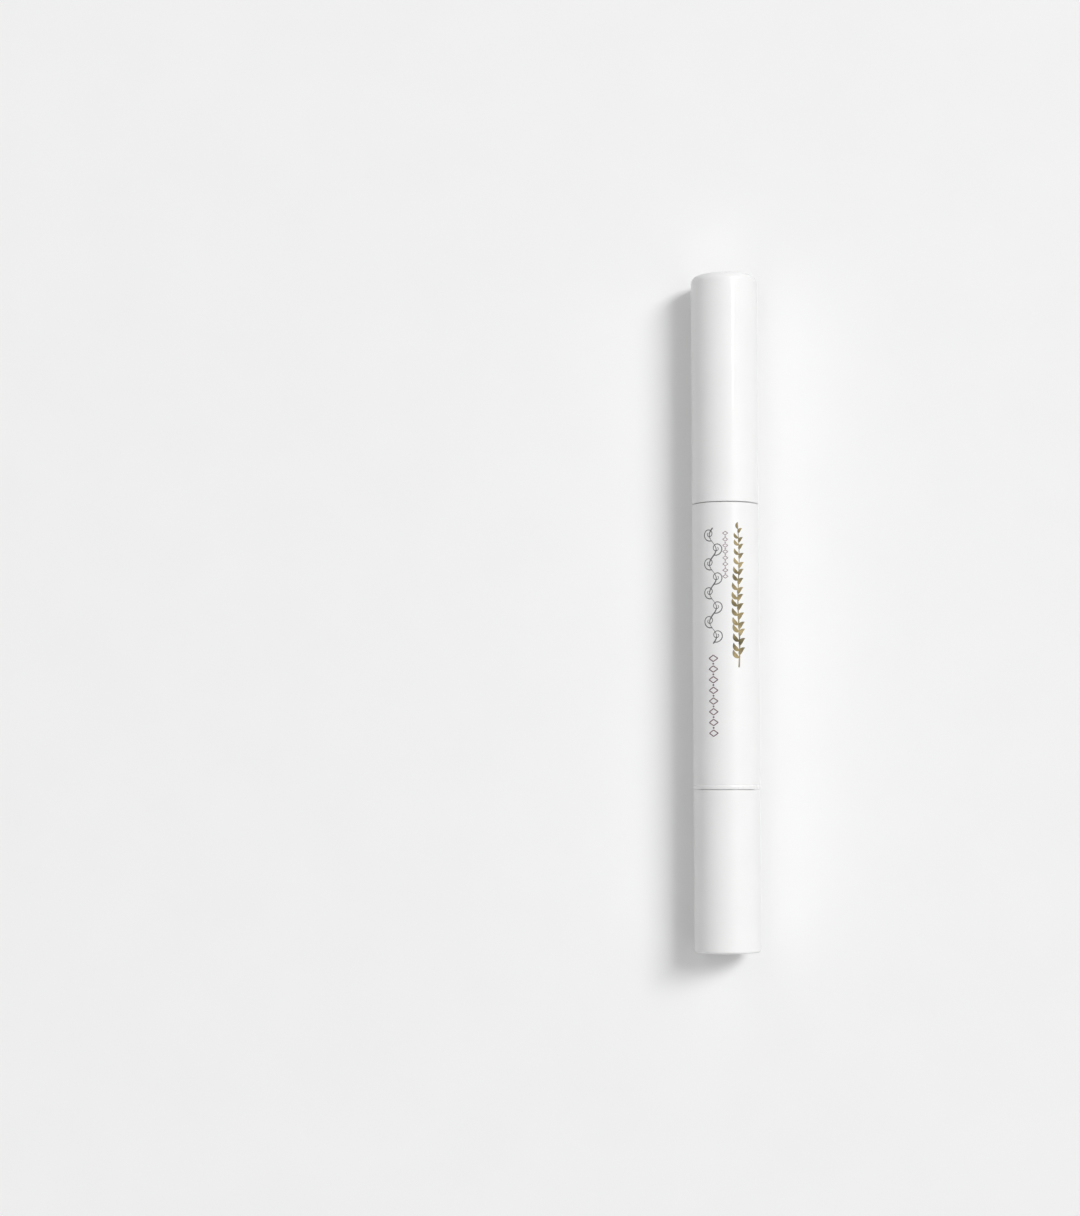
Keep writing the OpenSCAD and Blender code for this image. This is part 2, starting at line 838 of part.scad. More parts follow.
// Split clip in the sleeve's groove, in front of the housing's web
module retaining_ring() {
    half = clip_open_angle / 2;
    reach = 2 * clip_r;
    color("gainsboro")
        lay()
            translate([0, 0, clip_z])
                linear_extrude(clip_l)
                    difference() {
                        circle(clip_r);
                        circle(clip_groove_r + press_gap);
                        polygon([[0, 0], polar(reach, -half), polar(reach, half)]);
                    }
}

// Knob: a sleeve with a closed rounded end, a step that the drive sleeve seats on, and ribs inside
module knob_shell() {
    rear_r = knob_bore_r - knob_step_w;
    color("white")
        lay() {
            rotate_extrude()
                difference() {
                    translate([0, knob_l])
                        mirror([0, 1])
                            rounded_bar(pen_r, 0, knob_l, knob_fillet);
                    band(0, knob_bore_r, hub_z, knob_l + over);
                    band(0, rear_r, knob_end_wall, hub_z + over);
                    chamfer_cut(pen_r, knob_l, edge_chamfer / 2, 1, -1);
                    chamfer_cut(knob_bore_r, knob_l, edge_chamfer, -1, -1);
                }
            ribs(knob_ribs, knob_rib_w, rear_r - knob_rib_h, rear_r + knob_step_w / 2,
                knob_end_wall - face_gap, hub_z - end_play);
            ribs(knob_ribs, hub_rib_w, knob_bore_r - hub_rib_h, knob_bore_r + knob_step_w / 2,
                hub_z - face_gap, hub_z + hub_l);
        }
}

cap_shell();
inner_cap();
barrel_shell();
middle_ring();
nozzle();
nozzle_seal();
nozzle_core();
feed_tube();
brush_holder();
brush_tuft();
piston();
piston_seal();
lead_screw();
drive_nut();
drive_housing();
click_ring();
drive_sleeve();
retaining_ring();
knob_shell();
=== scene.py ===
"""Looks of a nail oil pen that lies capped on a pale table, lit softly from the right.

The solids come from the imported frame. This script adds their finishes, a fuller brush, the barrel's
print (a sprig, a tendril and two rows of lozenges), and the table, the lights and the camera.
Lengths are in metres.
"""

import math

import bpy
import numpy as np
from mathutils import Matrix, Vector


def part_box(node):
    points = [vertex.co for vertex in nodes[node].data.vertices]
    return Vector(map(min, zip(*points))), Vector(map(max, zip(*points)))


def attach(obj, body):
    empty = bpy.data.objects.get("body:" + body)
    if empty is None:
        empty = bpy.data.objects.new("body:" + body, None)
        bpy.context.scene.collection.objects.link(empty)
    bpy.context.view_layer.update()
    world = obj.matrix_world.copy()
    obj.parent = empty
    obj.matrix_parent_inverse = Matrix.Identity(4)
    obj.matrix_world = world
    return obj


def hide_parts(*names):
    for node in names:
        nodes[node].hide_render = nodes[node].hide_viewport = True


MM = 0.001

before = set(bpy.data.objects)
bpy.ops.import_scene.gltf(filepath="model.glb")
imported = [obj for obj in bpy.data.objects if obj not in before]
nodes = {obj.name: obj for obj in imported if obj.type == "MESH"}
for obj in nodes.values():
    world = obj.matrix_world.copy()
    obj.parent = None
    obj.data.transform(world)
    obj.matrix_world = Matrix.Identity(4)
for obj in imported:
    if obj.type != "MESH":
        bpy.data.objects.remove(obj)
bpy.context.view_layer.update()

# The pen's axis runs along Y at this height, and the barrel has this radius
barrel_low, barrel_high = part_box("barrel_shell")
AXIS_Z = (barrel_low.z + barrel_high.z) / 2
BARREL_R = (barrel_high.x - barrel_low.x) / 2


# Camera, with its angles in degrees. The view height is its angle along the picture's height

CAMERA_PLACE = (-37.9 * MM, -35.5 * MM, 533.0 * MM)
CAMERA_TILT = 3.94
CAMERA_ROLL = -0.07
CAMERA_VIEW_HEIGHT = 26.45
SENSOR = 36.0
CLIP_START = 0.01
CLIP_END = 20.0


def make_camera():
    """Camera above the knob's seam that leans a little towards the cap, as in the photograph."""
    data = bpy.data.cameras.new("camera")
    data.sensor_fit = "AUTO"
    data.sensor_width = SENSOR
    data.lens = SENSOR / 2 / math.tan(math.radians(CAMERA_VIEW_HEIGHT / 2))
    data.clip_start = CLIP_START
    data.clip_end = CLIP_END
    camera = bpy.data.objects.new("camera", data)
    camera.location = CAMERA_PLACE
    camera.rotation_euler = (math.radians(CAMERA_TILT), 0.0, math.radians(CAMERA_ROLL))
    bpy.context.scene.collection.objects.link(camera)
    bpy.context.scene.camera = camera


# Colours, each a pair of a darker and a lighter shade that a noise mixes

WHITE = ((0.9, 0.9, 0.898), (0.915, 0.915, 0.912))
MILKY = ((0.81, 0.82, 0.81), (0.85, 0.86, 0.85))
STIFF_WHITE = ((0.83, 0.83, 0.8), (0.86, 0.86, 0.83))
SPRING_GREY = ((0.56, 0.57, 0.59), (0.6, 0.61, 0.63))
DARK_RUBBER = ((0.035, 0.035, 0.04), (0.05, 0.05, 0.055))
PALE_SEAL = ((0.68, 0.69, 0.68), (0.74, 0.75, 0.74))
NYLON = ((0.72, 0.69, 0.61), (0.9, 0.88, 0.82))
OLIVE_GOLD = ((0.08, 0.065, 0.031), (0.13, 0.106, 0.052))
WARM_GOLD = ((0.29, 0.232, 0.115), (0.44, 0.355, 0.185))
GREY_INK = ((0.1, 0.097, 0.095), (0.13, 0.125, 0.123))
ROSE_INK = ((0.145, 0.074, 0.09), (0.19, 0.102, 0.12))
PALE_INK = ((0.26, 0.18, 0.2), (0.32, 0.225, 0.245))
TABLE_WHITE = ((0.915, 0.915, 0.915), (0.925, 0.925, 0.925))

# What lies behind everything, with its opacity
BACKDROP = (0.92, 0.92, 0.92, 1.0)

# Noises, in features per metre
CLOUDS = 140.0
GLOSS_PATCHES = 420.0
SKIN_RIPPLE = 1500.0
DUST = 900.0
STREAKS = 2600.0
FOIL_GRAIN = 3200.0
FOIL_SHADING = 380.0
INK_COVER = 2400.0
TABLE_TOOTH = 60.0

# Ends of the part of a noise that a colour ramp and a varied number are spread over
RAMP_ENDS = (0.35, 0.65)
VARY_ENDS = (0.3, 0.7)

# Roughness of each finish, from its glossiest to its dullest spot
RUBBER_ROUGHNESS = (0.5, 0.68)
NYLON_ROUGHNESS = (0.22, 0.38)
FOIL_ROUGHNESS = (0.55, 0.68)
INK_ROUGHNESS = (0.4, 0.55)
TABLE_ROUGHNESS = (0.75, 0.85)

# A plastic's roughness varies by this share both ways, and its polish has a sharper gloss
ROUGHNESS_SPREAD = 0.15
POLISH_ROUGHNESS = 0.06

# Other properties of the finishes
PLASTIC_IOR = 1.49
NYLON_IOR = 1.53
NYLON_CLEARNESS = 0.15
SCATTER_RADIUS = (1.0, 0.95, 0.85)
SCATTER_DEPTH = 0.6 * MM
SKIN_RELIEF = 0.02 * MM
FOIL_RELIEF = 0.01 * MM
DUST_STRENGTH = 0.25
GRAIN_STRENGTH = 0.3
FOIL_METAL = 0.7
TABLE_SHINE = 0.2

# Distances from the pen's middle between which the table passes into the plain backdrop
FADE_FROM = 0.25
FADE_TO = 0.9


def new_material(name):
    """A material with an empty node tree but for its shader and output."""
    material = bpy.data.materials.new(name)
    material.use_nodes = True
    tree = material.node_tree
    tree.nodes.clear()
    output = tree.nodes.new("ShaderNodeOutputMaterial")
    shader = tree.nodes.new("ShaderNodeBsdfPrincipled")
    tree.links.new(shader.outputs["BSDF"], output.inputs["Surface"])
    return material, tree, shader


def noise(tree, scale, detail, stretch=(1.0, 1.0, 1.0)):
    """Noise in the object's own space, with scale in features per metre."""
    place = tree.nodes.new("ShaderNodeTexCoord")
    mapping = tree.nodes.new("ShaderNodeMapping")
    mapping.inputs["Scale"].default_value = stretch
    texture = tree.nodes.new("ShaderNodeTexNoise")
    texture.inputs["Scale"].default_value = scale
    texture.inputs["Detail"].default_value = detail
    tree.links.new(place.outputs["Object"], mapping.inputs["Vector"])
    tree.links.new(mapping.outputs["Vector"], texture.inputs["Vector"])
    return texture.outputs["Fac"]


def ramp(tree, source, shades):
    """Colour between two shades, over the middle of a noise."""
    node = tree.nodes.new("ShaderNodeValToRGB")
    for element, end, shade in zip(node.color_ramp.elements, RAMP_ENDS, shades):
        element.position = end
        element.color = (*shade, 1.0)
    tree.links.new(source, node.inputs["Fac"])
    return node.outputs["Color"]


def vary(tree, source, span, target):
    """Feeds a noise, spread between two values, into a socket."""
    node = tree.nodes.new("ShaderNodeMapRange")
    for socket, value in zip(("From Min", "From Max", "To Min", "To Max"), (*VARY_ENDS, *span)):
        node.inputs[socket].default_value = value
    tree.links.new(source, node.inputs["Value"])
    tree.links.new(node.outputs["Result"], target)


def paint(tree, shader, source, shades):
    """Base colour between two shades."""
    tree.links.new(ramp(tree, source, shades), shader.inputs["Base Color"])


def bump(tree, shader, height, strength, distance):
    """Fine relief from a noise."""
    node = tree.nodes.new("ShaderNodeBump")
    node.inputs["Strength"].default_value = strength
    node.inputs["Distance"].default_value = distance
    tree.links.new(height, node.inputs["Height"])
    tree.links.new(node.outputs["Normal"], shader.inputs["Normal"])


def plastic(name, shades, roughness, peel, scatter=0.0, polish=0.0):
    """Moulded plastic with faint clouds in its colour, uneven gloss and the ripple of a moulded skin.

    A share of polish lays a sharper gloss over the soft one.
    """
    material, tree, shader = new_material(name)
    paint(tree, shader, noise(tree, CLOUDS, 3.0), shades)
    gloss = noise(tree, GLOSS_PATCHES, 5.0, (1.0, 0.25, 1.0))
    span = (roughness * (1.0 - ROUGHNESS_SPREAD), roughness * (1.0 + ROUGHNESS_SPREAD))
    vary(tree, gloss, span, shader.inputs["Roughness"])
    bump(tree, shader, noise(tree, SKIN_RIPPLE, 2.0), peel, SKIN_RELIEF)
    shader.inputs["IOR"].default_value = PLASTIC_IOR
    if scatter:
        shader.inputs["Subsurface Weight"].default_value = scatter
        shader.inputs["Subsurface Radius"].default_value = SCATTER_RADIUS
        shader.inputs["Subsurface Scale"].default_value = SCATTER_DEPTH
    if polish:
        shader.inputs["Coat Weight"].default_value = polish
        shader.inputs["Coat Roughness"].default_value = POLISH_ROUGHNESS
    return material


def rubber(name, shades):
    """Soft moulded rubber with a dull, slightly dusty skin."""
    material, tree, shader = new_material(name)
    dust = noise(tree, DUST, 6.0)
    paint(tree, shader, dust, shades)
    vary(tree, dust, RUBBER_ROUGHNESS, shader.inputs["Roughness"])
    bump(tree, shader, dust, DUST_STRENGTH, SKIN_RELIEF)
    return material


def nylon(name):
    """Fine drawn nylon: pale, a little see-through, with long streaks."""
    material, tree, shader = new_material(name)
    streaks = noise(tree, STREAKS, 2.0, (1.0, 0.06, 1.0))
    paint(tree, shader, streaks, NYLON)
    vary(tree, streaks, NYLON_ROUGHNESS, shader.inputs["Roughness"])
    shader.inputs["Transmission Weight"].default_value = NYLON_CLEARNESS
    shader.inputs["IOR"].default_value = NYLON_IOR
    return material


def foil(name):
    """Hot-stamped foil that shades from olive to warm gold, over the fine grain of the plastic."""
    material, tree, shader = new_material(name)
    grain = noise(tree, FOIL_GRAIN, 3.0)
    shading = noise(tree, FOIL_SHADING, 1.0)
    tint = tree.nodes.new("ShaderNodeMix")
    tint.data_type = "RGBA"
    socket = {s.identifier: s for s in (*tint.inputs, *tint.outputs)}
    vary(tree, shading, (0.0, 1.0), socket["Factor_Float"])
    tree.links.new(ramp(tree, grain, OLIVE_GOLD), socket["A_Color"])
    tree.links.new(ramp(tree, grain, WARM_GOLD), socket["B_Color"])
    tree.links.new(socket["Result_Color"], shader.inputs["Base Color"])
    vary(tree, grain, FOIL_ROUGHNESS, shader.inputs["Roughness"])
    bump(tree, shader, grain, GRAIN_STRENGTH, FOIL_RELIEF)
    shader.inputs["Metallic"].default_value = FOIL_METAL
    return material


def ink(name, shades):
    """Flat printed ink, a little uneven in cover."""
    material, tree, shader = new_material(name)
    cover = noise(tree, INK_COVER, 3.0)
    paint(tree, shader, cover, shades)
    vary(tree, cover, INK_ROUGHNESS, shader.inputs["Roughness"])
    return material


def shown_plain(tree):
    """1 where the camera, gloss or clear plastic looks, and 0 for the light that falls on things."""
    path = tree.nodes.new("ShaderNodeLightPath")
    shown = path.outputs["Is Camera Ray"]
    for ray in ("Is Glossy Ray", "Is Transmission Ray"):
        either = tree.nodes.new("ShaderNodeMath")
        either.operation = "MAXIMUM"
        tree.links.new(shown, either.inputs[0])
        tree.links.new(path.outputs[ray], either.inputs[1])
        shown = either.outputs["Value"]
    return shown


def far_share(tree):
    """0 near the pen and 1 far from it, for the looks that shown_plain names."""
    place = tree.nodes.new("ShaderNodeTexCoord")
    away = tree.nodes.new("ShaderNodeVectorMath")
    away.operation = "LENGTH"
    fade = tree.nodes.new("ShaderNodeMapRange")
    fade.interpolation_type = "SMOOTHSTEP"
    fade.inputs["From Min"].default_value = FADE_FROM
    fade.inputs["From Max"].default_value = FADE_TO
    share = tree.nodes.new("ShaderNodeMath")
    share.operation = "MULTIPLY"
    tree.links.new(place.outputs["Object"], away.inputs[0])
    tree.links.new(away.outputs["Value"], fade.inputs["Value"])
    tree.links.new(fade.outputs["Result"], share.inputs[0])
    tree.links.new(shown_plain(tree), share.inputs[1])
    return share.outputs["Value"]


def table_top(name):
    """Plain pale sheet with a faint tooth, which passes into the backdrop far from the pen."""
    material, tree, shader = new_material(name)
    tooth = noise(tree, TABLE_TOOTH, 6.0)
    paint(tree, shader, tooth, TABLE_WHITE)
    vary(tree, tooth, TABLE_ROUGHNESS, shader.inputs["Roughness"])
    shader.inputs["Specular IOR Level"].default_value = TABLE_SHINE
    plain = tree.nodes.new("ShaderNodeEmission")
    plain.inputs["Color"].default_value = BACKDROP
    mix = tree.nodes.new("ShaderNodeMixShader")
    tree.links.new(far_share(tree), mix.inputs["Fac"])
    tree.links.new(shader.outputs["BSDF"], mix.inputs[1])
    tree.links.new(plain.outputs["Emission"], mix.inputs[2])
    tree.links.new(mix.outputs["Shader"], tree.nodes["Material Output"].inputs["Surface"])
    return material


def dress(material, *names):
    """Gives CAD nodes their material."""
    for name in names:
        slots = nodes[name].data.materials
        slots.clear()
        slots.append(material)


def finish_nodes():
    """Every CAD node's finish."""
    cap = plastic("gloss_cap", WHITE, roughness=0.5, peel=0.05, polish=0.3)
    dress(cap, "cap_shell")
    barrel = plastic("gloss_barrel", WHITE, roughness=0.34, peel=0.06, polish=0.2)
    dress(barrel, "barrel_shell")
    knob = plastic("gloss_knob", WHITE, roughness=0.34, peel=0.06, polish=0.2)
    dress(knob, "knob_shell")
    ring = plastic("gloss_ring", WHITE, roughness=0.3, peel=0.04, polish=0.3)
    dress(ring, "middle_ring")
    milky = plastic("milky_plastic", MILKY, roughness=0.32, peel=0.08, scatter=0.35)
    dress(milky, "nozzle", "inner_cap", "nozzle_core", "brush_holder", "drive_housing")
    stiff = plastic("stiff_white", STIFF_WHITE, roughness=0.38, peel=0.08)
    dress(stiff, "piston", "lead_screw", "drive_sleeve", "feed_tube")
    grey = plastic("spring_grey", SPRING_GREY, roughness=0.4, peel=0.08)
    dress(grey, "drive_nut", "click_ring", "retaining_ring")
    dress(rubber("dark_rubber", DARK_RUBBER), "nozzle_seal")
    dress(rubber("pale_seal", PALE_SEAL), "piston_seal")


def mesh_piece(name, points, faces, material, smooth=True):
    """An object from points and faces."""
    mesh = bpy.data.meshes.new(name)
    mesh.from_pydata(points, [], faces)
    mesh.validate()
    mesh.materials.append(material)
    for polygon in mesh.polygons:
        polygon.use_smooth = smooth
    piece = bpy.data.objects.new(name, mesh)
    bpy.context.scene.collection.objects.link(piece)
    return piece


# Brush

STRANDS = 700
STRAND_SIDES = 6
STRAND_RINGS = 9
STRAND_R = 0.05 * MM
GOLDEN_ANGLE = math.radians(137.50776)
BRUSH_SEED = 5

# The strands fill the tuft from the hole round its feed tube to this share of the tuft's radius
TUFT_HOLE_R = 1.05 * MM
TUFT_FILL = 0.94

# They start this far in from the tuft's root, over a length that is this much less than the tuft's
ROOT_GAP = 0.2 * MM
LENGTH_GAP = 0.25 * MM

# Shares of the length by which strands at the tuft's edge are shorter and by which any may be
OUTER_SHORTER = 0.17
RANDOM_SHORTER = 0.03

# How far the strands' tips stray to the side, as a standard deviation
TIP_SWAY = 0.05 * MM

# From this share of its length a strand thins, and loses this share of its radius by its tip
THIN_FROM = 0.45
THIN_SHARE = 0.75

# Widths of the tuft as shares of its width in the solid, and the belly's place along it. The higher
# the curve, the longer the tuft stays full before its point
ROOT_WIDTH = 0.93
BELLY_WIDTH = 1.02
POINT_WIDTH = 0.1
BELLY_AT = 0.42
POINT_CURVE = 1.6


def tuft_width(t):
    """Width of the tuft at a share of its length, as a share of the solid's width at the root."""
    if t < BELLY_AT:
        swell = math.sin(0.5 * math.pi * t / BELLY_AT)
        return ROOT_WIDTH + (BELLY_WIDTH - ROOT_WIDTH) * swell
    fall = (t - BELLY_AT) / (1.0 - BELLY_AT)
    return POINT_WIDTH + (BELLY_WIDTH - POINT_WIDTH) * (1.0 - fall**POINT_CURVE)


def tube_faces(faces, base, rings, sides):
    """Faces of a closed tube whose rings of points follow each other from base on."""
    for k in range(rings - 1):
        row = base + k * sides
        above = row + sides
        for s in range(sides):
            nxt = (s + 1) % sides
            faces.append((row + s, above + s, above + nxt, row + nxt))
    faces.append(tuple(base + s for s in range(sides)))
    last = base + (rings - 1) * sides
    faces.append(tuple(last + s for s in reversed(range(sides))))


def make_brush(material):
    """Tuft of tapered strands that swell to a belly and draw in to a soft point, as wet nylon does."""
    low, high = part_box("brush_tuft")
    root_r = (high.x - low.x) / 2
    fill_r = root_r * TUFT_FILL
    reach_y = high.y - low.y - LENGTH_GAP
    random = np.random.default_rng(BRUSH_SEED)
    points, faces = [], []
    for i in range(STRANDS):
        share = (i + 0.5) / STRANDS
        r = math.sqrt(TUFT_HOLE_R**2 + (fill_r**2 - TUFT_HOLE_R**2) * share)
        a = i * GOLDEN_ANGLE
        reach = 1.0 - OUTER_SHORTER * (r / root_r) ** 2 - RANDOM_SHORTER * random.random()
        sway = random.normal(0.0, TIP_SWAY, 2)
        base = len(points)
        for k in range(STRAND_RINGS):
            u = k / (STRAND_RINGS - 1)
            t = u * reach
            out = tuft_width(t) * r
            x = out * math.cos(a) + sway[0] * t * t
            y = low.y + ROOT_GAP + t * reach_y
            z = AXIS_Z + out * math.sin(a) + sway[1] * t * t
            size = STRAND_R * (1.0 - THIN_SHARE * max(0.0, u - THIN_FROM) / (1.0 - THIN_FROM))
            for s in range(STRAND_SIDES):
                turn = 2 * math.pi * s / STRAND_SIDES
                points.append((x + size * math.cos(turn), y, z + size * math.sin(turn)))
        tube_faces(faces, base, STRAND_RINGS, STRAND_SIDES)
    brush = mesh_piece("brush_strands", points, faces, material)
    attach(brush, "barrel")
    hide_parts("brush_tuft")


# Print: thin film on the barrel

FILM_TOP = 0.012 * MM
FILM_ROOT = 0.02 * MM

# A strip's section has three points on top, so that it bends with the barrel, and two below
FILM_SECTION = (
    (-1.0, FILM_TOP),
    (0.0, FILM_TOP),
    (1.0, FILM_TOP),
    (1.0, -FILM_ROOT),
    (-1.0, -FILM_ROOT),
)

# Middles are places (across, along) from the top line over the pen's middle
SPRIG_MIDDLE = (2.2 * MM, 2.5 * MM)
SPRIG_LENGTH = 28.4 * MM
SPRIG_PAIRS = 15
SPRIG_STEPS = 60
SPRIG_SWAY = 0.16 * MM
SPRIG_WAVES = 1.6
STEM_WIDTH = 0.28 * MM

# What the stem has at its foot, and what it loses by its tip, as shares of its stated width
STEM_FOOT = 1.15
STEM_TAPER = 0.7

# Shares of the stem where the leaves begin, that they take up, and that none goes past
LEAVES_FROM = 0.06
LEAVES_SPAN = 0.86
LEAVES_TO = 0.97

# A leaf bends by a share of its length, and is fullest a little before its middle. The leaves lose
# a share of their size towards the sprig's tip, and the leaf on the tip has a share of the full size
LEAF_LENGTH = 2.1 * MM
LEAF_WIDTH = 0.88 * MM
LEAF_ANGLE = math.radians(38.0)
LEAF_STEPS = 9
LEAF_BEND = 0.18
LEAF_FULLEST = 0.85
LEAF_ROUNDNESS = 0.9
LEAF_POINT = 0.004 * MM
LEAF_SHRINK = 0.35
TIP_LEAF = 0.7

TENDRIL_MIDDLE = (-3.1 * MM, 4.8 * MM)
TENDRIL_LENGTH = 23.4 * MM
TENDRIL_SWAY = 0.75 * MM
TENDRIL_WAVES = 4
TENDRIL_LINE = 0.23 * MM
WAVE_STEPS = 20

# The tendril's line is thick and thin in turn, by shares of its stated width
LINE_MEAN = 0.8
LINE_SWELL = 0.35

# A curl's radius and the place of its hub beside its root, as shares of a wave's length
CURL_R = 0.2
CURL_ACROSS = 0.1
CURL_ALONG = 0.24

# It leaves the tendril this share of half a wave after its bend begins, wider by the flare, and loses
# the wound-in share of its radius over its half turns
CURL_AFTER = 0.08
CURL_FLARE = 0.3
CURL_WOUND_IN = 0.75
CURL_HALF_TURNS = 2.9
CURL_STEPS = 22

# What a curl's line has at its root, and what it loses by its end, as shares of the tendril's line
CURL_LINE = 0.9
CURL_TAPER = 0.4

ROSE_MIDDLE = (-3.1 * MM, -17.4 * MM)
ROSE_LENGTH = 17.6 * MM
PALE_MIDDLE = (-0.5 * MM, 11.0 * MM)
PALE_LENGTH = 10.4 * MM
LOZENGE_STEPS = 4
BEAD_SIDES = 10


def on_barrel(across, along, lift):
    """Point on the barrel: across is the arc from its top line, and lift the height over its skin."""
    r = BARREL_R + lift
    a = across / BARREL_R
    return (r * math.sin(a), along, AXIS_Z + r * math.cos(a))


def film(points, faces, centre_line, half_widths):
    """Adds a closed strip of film along a line of (across, along) points, with its half widths."""
    base = len(points)
    last = len(centre_line) - 1
    for i, (across, along) in enumerate(centre_line):
        before = centre_line[max(i - 1, 0)]
        after = centre_line[min(i + 1, last)]
        dx, dy = after[0] - before[0], after[1] - before[1]
        size = math.hypot(dx, dy)
        nx, ny = -dy / size, dx / size
        for side, lift in FILM_SECTION:
            w = side * half_widths[i]
            points.append(on_barrel(across + nx * w, along + ny * w, lift))
    tube_faces(faces, base, len(centre_line), len(FILM_SECTION))


def bead(points, faces, centre, radius):
    """One small round dot of film."""
    base = len(points)
    top = base + BEAD_SIDES
    for lift in (-FILM_ROOT, FILM_TOP):
        for k in range(BEAD_SIDES):
            turn = 2 * math.pi * k / BEAD_SIDES
            across = centre[0] + radius * math.cos(turn)
            along = centre[1] + radius * math.sin(turn)
            points.append(on_barrel(across, along, lift))
    faces.append(tuple(base + k for k in reversed(range(BEAD_SIDES))))
    faces.append(tuple(top + k for k in range(BEAD_SIDES)))
    for k in range(BEAD_SIDES):
        nxt = (k + 1) % BEAD_SIDES
        faces.append((base + k, base + nxt, top + nxt, top + k))


def leaf(points, faces, root, angle, grown):
    """One pointed leaf from a point on the stem, at a share of its full size."""
    length, width = LEAF_LENGTH * grown, LEAF_WIDTH * grown
    line, widths = [], []
    for i in range(LEAF_STEPS + 1):
        t = i / LEAF_STEPS
        bend = LEAF_BEND * length * math.sin(math.pi * t)
        reach = length * t
        across = root[0] + reach * math.sin(angle) - bend * math.cos(angle)
        along = root[1] + reach * math.cos(angle) + bend * math.sin(angle)
        line.append((across, along))
        fullness = math.sin(math.pi * t**LEAF_FULLEST) ** LEAF_ROUNDNESS
        widths.append(max(LEAF_POINT, width / 2 * fullness))
    film(points, faces, line, widths)


def sprig(name, material):
    """A stem with pairs of leaves that grow smaller towards the tip."""
    points, faces = [], []
    stem, widths = [], []
    for i in range(SPRIG_STEPS + 1):
        t = i / SPRIG_STEPS
        across = SPRIG_MIDDLE[0] + SPRIG_SWAY * math.sin(2 * math.pi * SPRIG_WAVES * t)
        stem.append((across, SPRIG_MIDDLE[1] + SPRIG_LENGTH * (t - 0.5)))
        widths.append(STEM_WIDTH / 2 * (STEM_FOOT - STEM_TAPER * t))
    film(points, faces, stem, widths)
    for k in range(SPRIG_PAIRS):
        t = LEAVES_FROM + LEAVES_SPAN * k / (SPRIG_PAIRS - 1)
        for side in (-1, 1):
            shift = 0.0 if side < 0 else 0.5 * LEAVES_SPAN / (SPRIG_PAIRS - 1)
            root = stem[round(min(t + shift, LEAVES_TO) * SPRIG_STEPS)]
            leaf(points, faces, root, side * LEAF_ANGLE, 1.0 - LEAF_SHRINK * t**2)
    leaf(points, faces, stem[-2], 0.0, TIP_LEAF)
    piece = mesh_piece(name, points, faces, material, smooth=False)
    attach(piece, "barrel")


def curl(points, faces, root, side, wave):
    """A spiral inside one bend of the tendril, on the given side of it."""
    hub = (root[0] - side * CURL_ACROSS * wave, root[1] + CURL_ALONG * wave)
    start = math.atan2(root[1] - hub[1], root[0] - hub[0])
    line, widths = [], []
    for i in range(CURL_STEPS + 1):
        t = i / CURL_STEPS
        flare = 1.0 + CURL_FLARE * (1.0 - t) ** 4
        r = CURL_R * wave * (1.0 - CURL_WOUND_IN * t) * flare
        turn = start - side * CURL_HALF_TURNS * math.pi * t
        line.append((hub[0] + r * math.cos(turn), hub[1] + r * math.sin(turn)))
        widths.append(TENDRIL_LINE / 2 * (CURL_LINE - CURL_TAPER * t))
    film(points, faces, line, widths)


def tendril(name, material):
    """A fine wavy stem with a curl inside each of its bends."""
    points, faces = [], []
    steps = WAVE_STEPS * TENDRIL_WAVES
    stem, widths = [], []
    for i in range(steps + 1):
        t = i / steps
        turn = 2 * math.pi * TENDRIL_WAVES * t
        across = TENDRIL_MIDDLE[0] + TENDRIL_SWAY * math.sin(turn)
        stem.append((across, TENDRIL_MIDDLE[1] + TENDRIL_LENGTH * (t - 0.5)))
        widths.append(TENDRIL_LINE / 2 * (LINE_MEAN + LINE_SWELL * math.cos(turn)))
    film(points, faces, stem, widths)
    for k in range(2 * TENDRIL_WAVES):
        side = 1.0 if k % 2 else -1.0
        root = stem[round((k + CURL_AFTER) / (2 * TENDRIL_WAVES) * steps)]
        curl(points, faces, root, side, TENDRIL_LENGTH / TENDRIL_WAVES)
    piece = mesh_piece(name, points, faces, material, smooth=False)
    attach(piece, "barrel")


def lozenges(name, material, middle, length, height, width, pitch, line_width):
    """A row of small lozenge outlines along the barrel, with a bead between neighbours."""
    points, faces = [], []
    count = round(length / pitch)
    corners = ((height / 2, 0.0), (0.0, width / 2), (-height / 2, 0.0), (0.0, -width / 2))
    for k in range(count):
        along = middle[1] + (k - (count - 1) / 2) * pitch
        for c, corner in enumerate(corners):
            after = corners[(c + 1) % len(corners)]
            line = []
            for i in range(LOZENGE_STEPS + 1):
                t = i / LOZENGE_STEPS
                across = middle[0] + corner[0] * (1 - t) + after[0] * t
                line.append((across, along + corner[1] * (1 - t) + after[1] * t))
            film(points, faces, line, [line_width / 2] * len(line))
        if k:
            bead(points, faces, (middle[0], along - pitch / 2), line_width)
    piece = mesh_piece(name, points, faces, material, smooth=False)
    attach(piece, "barrel")


def print_barrel():
    """The barrel's print: a gold sprig, a fine grey tendril, and two rows of lozenges."""
    gold = foil("gold_foil")
    grey = ink("grey_ink", GREY_INK)
    rose = ink("rose_ink", ROSE_INK)
    pale = ink("pale_ink", PALE_INK)
    sprig("gold_sprig", gold)
    tendril("grey_tendril", grey)
    lozenges(
        "rose_lozenges",
        rose,
        ROSE_MIDDLE,
        ROSE_LENGTH,
        height=1.9 * MM,
        width=1.3 * MM,
        pitch=2.15 * MM,
        line_width=0.2 * MM,
    )
    lozenges(
        "pale_lozenges",
        pale,
        PALE_MIDDLE,
        PALE_LENGTH,
        height=1.05 * MM,
        width=0.75 * MM,
        pitch=1.25 * MM,
        line_width=0.14 * MM,
    )


# Table, light and world

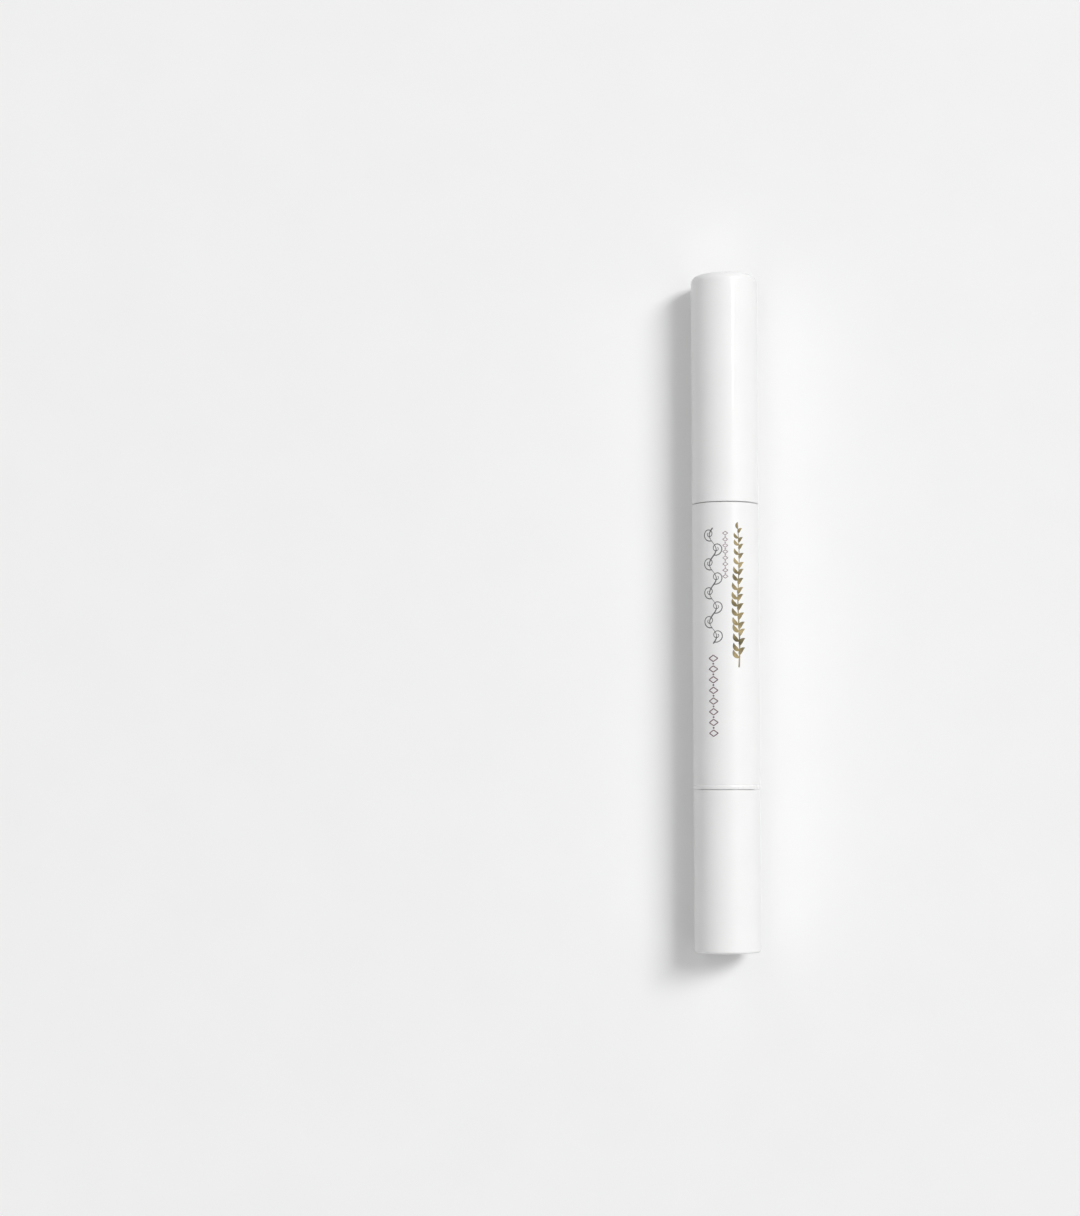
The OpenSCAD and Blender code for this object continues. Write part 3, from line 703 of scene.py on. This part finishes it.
TABLE_HALF = 3.0

# The key's angles are in degrees: to the right of upright, and from there towards the cap's end
KEY_ANGLE = 34.0
KEY_FORWARD = 20.5
KEY_DISTANCE = 6.0
KEY_SIZE = (1.5, 3.0)
KEY_POWER = 196.0

# Brightness of the sky dome across the pen, from the left horizon to the right, and along it
DOME_ACROSS = (
    (-0.8, 0.0),
    (-0.6, 0.75),
    (-0.4, 1.52),
    (-0.2, 1.0),
    (0.0, 0.2),
    (0.2, 0.66),
    (0.4, 1.12),
    (0.6, 1.05),
    (0.8, 0.0),
)
DOME_ALONG = ((-0.9, 0.0), (-0.45, 1.0), (0.45, 1.0), (0.9, 0.0))


def make_table():
    """Wide pale table top at the height that the pen lies on."""
    far = TABLE_HALF
    points = [(-far, -far, 0.0), (far, -far, 0.0), (far, far, 0.0), (-far, far, 0.0)]
    table = mesh_piece("table", points, [(0, 1, 2, 3)], table_top("table_sheet"), smooth=False)


def make_key():
    """Soft box up on the right and beyond the cap, for the narrow highlight and the shadow."""
    data = bpy.data.lights.new("key", "AREA")
    data.shape = "RECTANGLE"
    data.size, data.size_y = KEY_SIZE
    data.energy = KEY_POWER
    key = bpy.data.objects.new("key", data)
    side, forward = math.radians(KEY_ANGLE), math.radians(KEY_FORWARD)
    direction = np.array([math.sin(side), math.tan(forward), math.cos(side)])
    direction /= np.linalg.norm(direction)
    key.location = direction * KEY_DISTANCE
    key.rotation_euler = Vector(-direction).to_track_quat("-Z", "Y").to_euler()
    bpy.context.scene.collection.objects.link(key)


def graded(tree, source, stops):
    """Brightness that follows stops over a direction's share from -1 to 1."""
    spread = tree.nodes.new("ShaderNodeMapRange")
    spread.inputs["From Min"].default_value = -1.0
    shade = tree.nodes.new("ShaderNodeValToRGB")
    elements = shade.color_ramp.elements
    while len(elements) < len(stops):
        elements.new(0.5)
    for element, (share, level) in zip(elements, stops):
        element.position = (share + 1.0) / 2.0
        element.color = (level, level, level, 1.0)
    tree.links.new(source, spread.inputs["Value"])
    tree.links.new(spread.outputs["Result"], shade.inputs["Fac"])
    return shade.outputs["Color"]


def make_world():
    """Sky dome, bright to both sides and dim overhead, which shown_plain shows as plain backdrop."""
    world = bpy.data.worlds.new("studio")
    world.use_nodes = True
    tree = world.node_tree
    place = tree.nodes.new("ShaderNodeTexCoord")
    split = tree.nodes.new("ShaderNodeSeparateXYZ")
    tree.links.new(place.outputs["Generated"], split.inputs["Vector"])
    level = tree.nodes.new("ShaderNodeMath")
    level.operation = "MULTIPLY"
    tree.links.new(graded(tree, split.outputs["X"], DOME_ACROSS), level.inputs[0])
    tree.links.new(graded(tree, split.outputs["Y"], DOME_ALONG), level.inputs[1])
    lit = tree.nodes["Background"]
    shown = tree.nodes.new("ShaderNodeBackground")
    shown.inputs["Color"].default_value = BACKDROP
    mix = tree.nodes.new("ShaderNodeMixShader")
    tree.links.new(level.outputs["Value"], lit.inputs["Color"])
    tree.links.new(shown_plain(tree), mix.inputs["Fac"])
    tree.links.new(lit.outputs["Background"], mix.inputs[1])
    tree.links.new(shown.outputs["Background"], mix.inputs[2])
    tree.links.new(mix.outputs["Shader"], tree.nodes["World Output"].inputs["Surface"])
    bpy.context.scene.world = world


make_camera()
make_world()
make_key()
make_table()
finish_nodes()
make_brush(nylon("nylon"))
print_barrel()
bpy.context.scene.view_settings.view_transform = "Standard"
